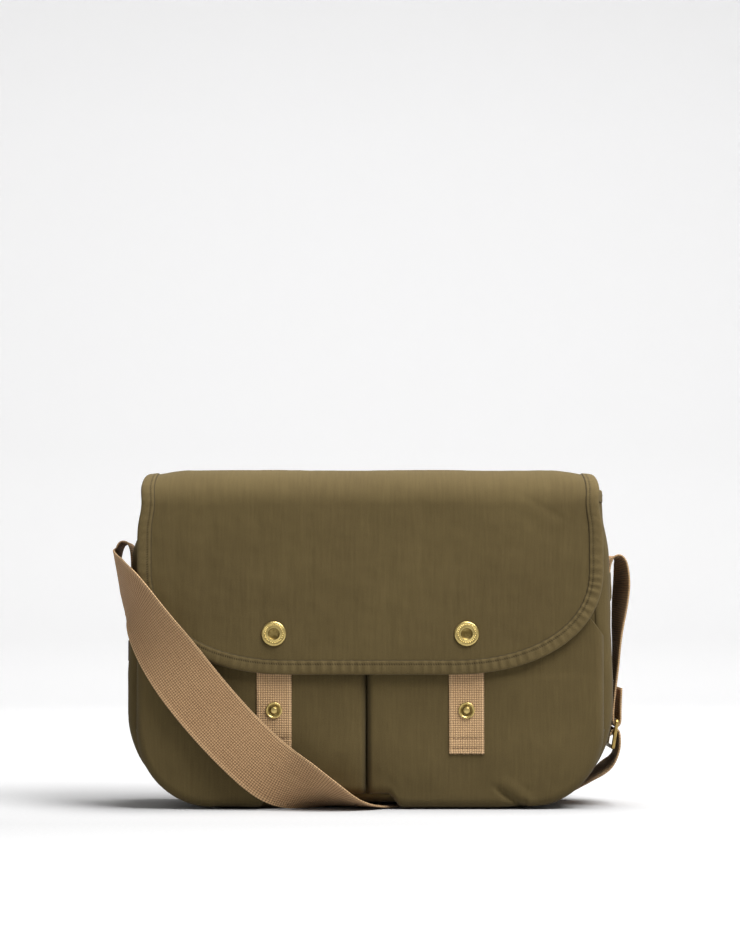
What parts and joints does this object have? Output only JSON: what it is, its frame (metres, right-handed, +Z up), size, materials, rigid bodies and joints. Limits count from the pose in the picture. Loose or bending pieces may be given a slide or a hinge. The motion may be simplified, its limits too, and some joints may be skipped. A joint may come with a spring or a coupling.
{
  "type": "messenger bag",
  "caption": "Soft canvas messenger bag with a wide front flap on snap fasteners, two patch pockets, a webbing shoulder strap and a buckle.",
  "frame": {"origin": "middle of the base, on the surface that the bag stands on", "axes": "+Z up, -Y towards the front of the bag, +X to the right as seen from the front"},
  "size_m": [0.4274, 0.2323, 0.276],
  "materials": {
    "canvas": "matte, washed",
    "canvas_trim": "matte, washed",
    "lining_cloth": "matte",
    "webbing": "matte, woven",
    "snap_brass": "antique, satin",
    "buckle_brass": "satin",
    "spring_steel": "satin",
    "zip_metal": "antique, dull",
    "zip_cloth": "matte",
    "dark_leather": "matte"
  },
  "bodies": {
    "bag_body": {"gusset_left": "canvas", "gusset_right": "canvas", "base_panel": "canvas", "front_panel": "canvas", "back_panel": "canvas", "lining": "lining_cloth", "inner_pocket": "lining_cloth", "mouth_binding": "canvas_trim", "pocket_left": "canvas", "pocket_right": "canvas", "pocket_hem_left": "canvas", "pocket_hem_right": "canvas", "tab_left": "webbing", "tab_right": "webbing", "stud_upper_left": "snap_brass", "stud_upper_right": "snap_brass", "stud_lower_left": "snap_brass", "stud_lower_right": "snap_brass", "post_upper_left": "snap_brass", "post_upper_right": "snap_brass", "post_lower_left": "snap_brass", "post_lower_right": "snap_brass", "strap_patch_left": "canvas", "strap_patch_right": "canvas", "strap_long": "webbing", "strap_short": "webbing", "zip_tape": "zip_cloth", "zip_teeth": "zip_metal", "zip_stop_top": "zip_metal", "zip_stop_low": "zip_metal"},
    "flap_top": {"flap_top": "canvas", "flap_top_border_left": "canvas_trim", "flap_top_border_right": "canvas_trim", "flap_top_lining": "lining_cloth"},
    "flap_front": {"flap_front": "canvas", "flap_border": "canvas_trim", "flap_lining": "lining_cloth", "cap_left": "snap_brass", "cap_right": "snap_brass", "socket_left": "snap_brass", "socket_right": "snap_brass", "spring_left": "spring_steel", "spring_right": "spring_steel"},
    "zip_slider": {"zip_slider": "zip_metal"},
    "zip_pull": {"zip_pull": "buckle_brass", "zip_pull_leather": "dark_leather"},
    "strap_buckle": {"strap_buckle": "buckle_brass"}
  },
  "joints": [
    {"name": "flap_back_fold", "type": "hinge", "parent": "bag_body", "child": "flap_top", "pos_m": [0, 0.066, 0.276], "axis": [-1, 0, 0], "range_deg": [0, 100], "deforming": ["strap_long", "strap_short"]},
    {"name": "flap_front_fold", "type": "hinge", "parent": "flap_top", "child": "flap_front", "pos_m": [0, -0.0654, 0.276], "axis": [-1, 0, 0], "range_deg": [0, 100], "deforming": ["strap_long", "strap_short"]},
    {"name": "zip_slide", "type": "slide", "parent": "bag_body", "child": "zip_slider", "axis": [0, 0, -1], "range_m": [0, 0.06]},
    {"name": "zip_pull_hinge", "type": "hinge", "parent": "zip_slider", "child": "zip_pull", "pos_m": [-0.2013, 0.014, 0.144], "axis": [0, 1, 0], "range_deg": [0, 150]},
    {"name": "buckle_pivot", "type": "hinge", "parent": "bag_body", "child": "strap_buckle", "pos_m": [0.2029, 0.001, 0.07], "axis": [0, -1, 0], "range_deg": [0, 35], "deforming": ["strap_long", "strap_short"]}
  ],
  "couplings": [
    {"joint": "flap_front_fold", "follows": "flap_back_fold", "ratio": 1}
  ]
}
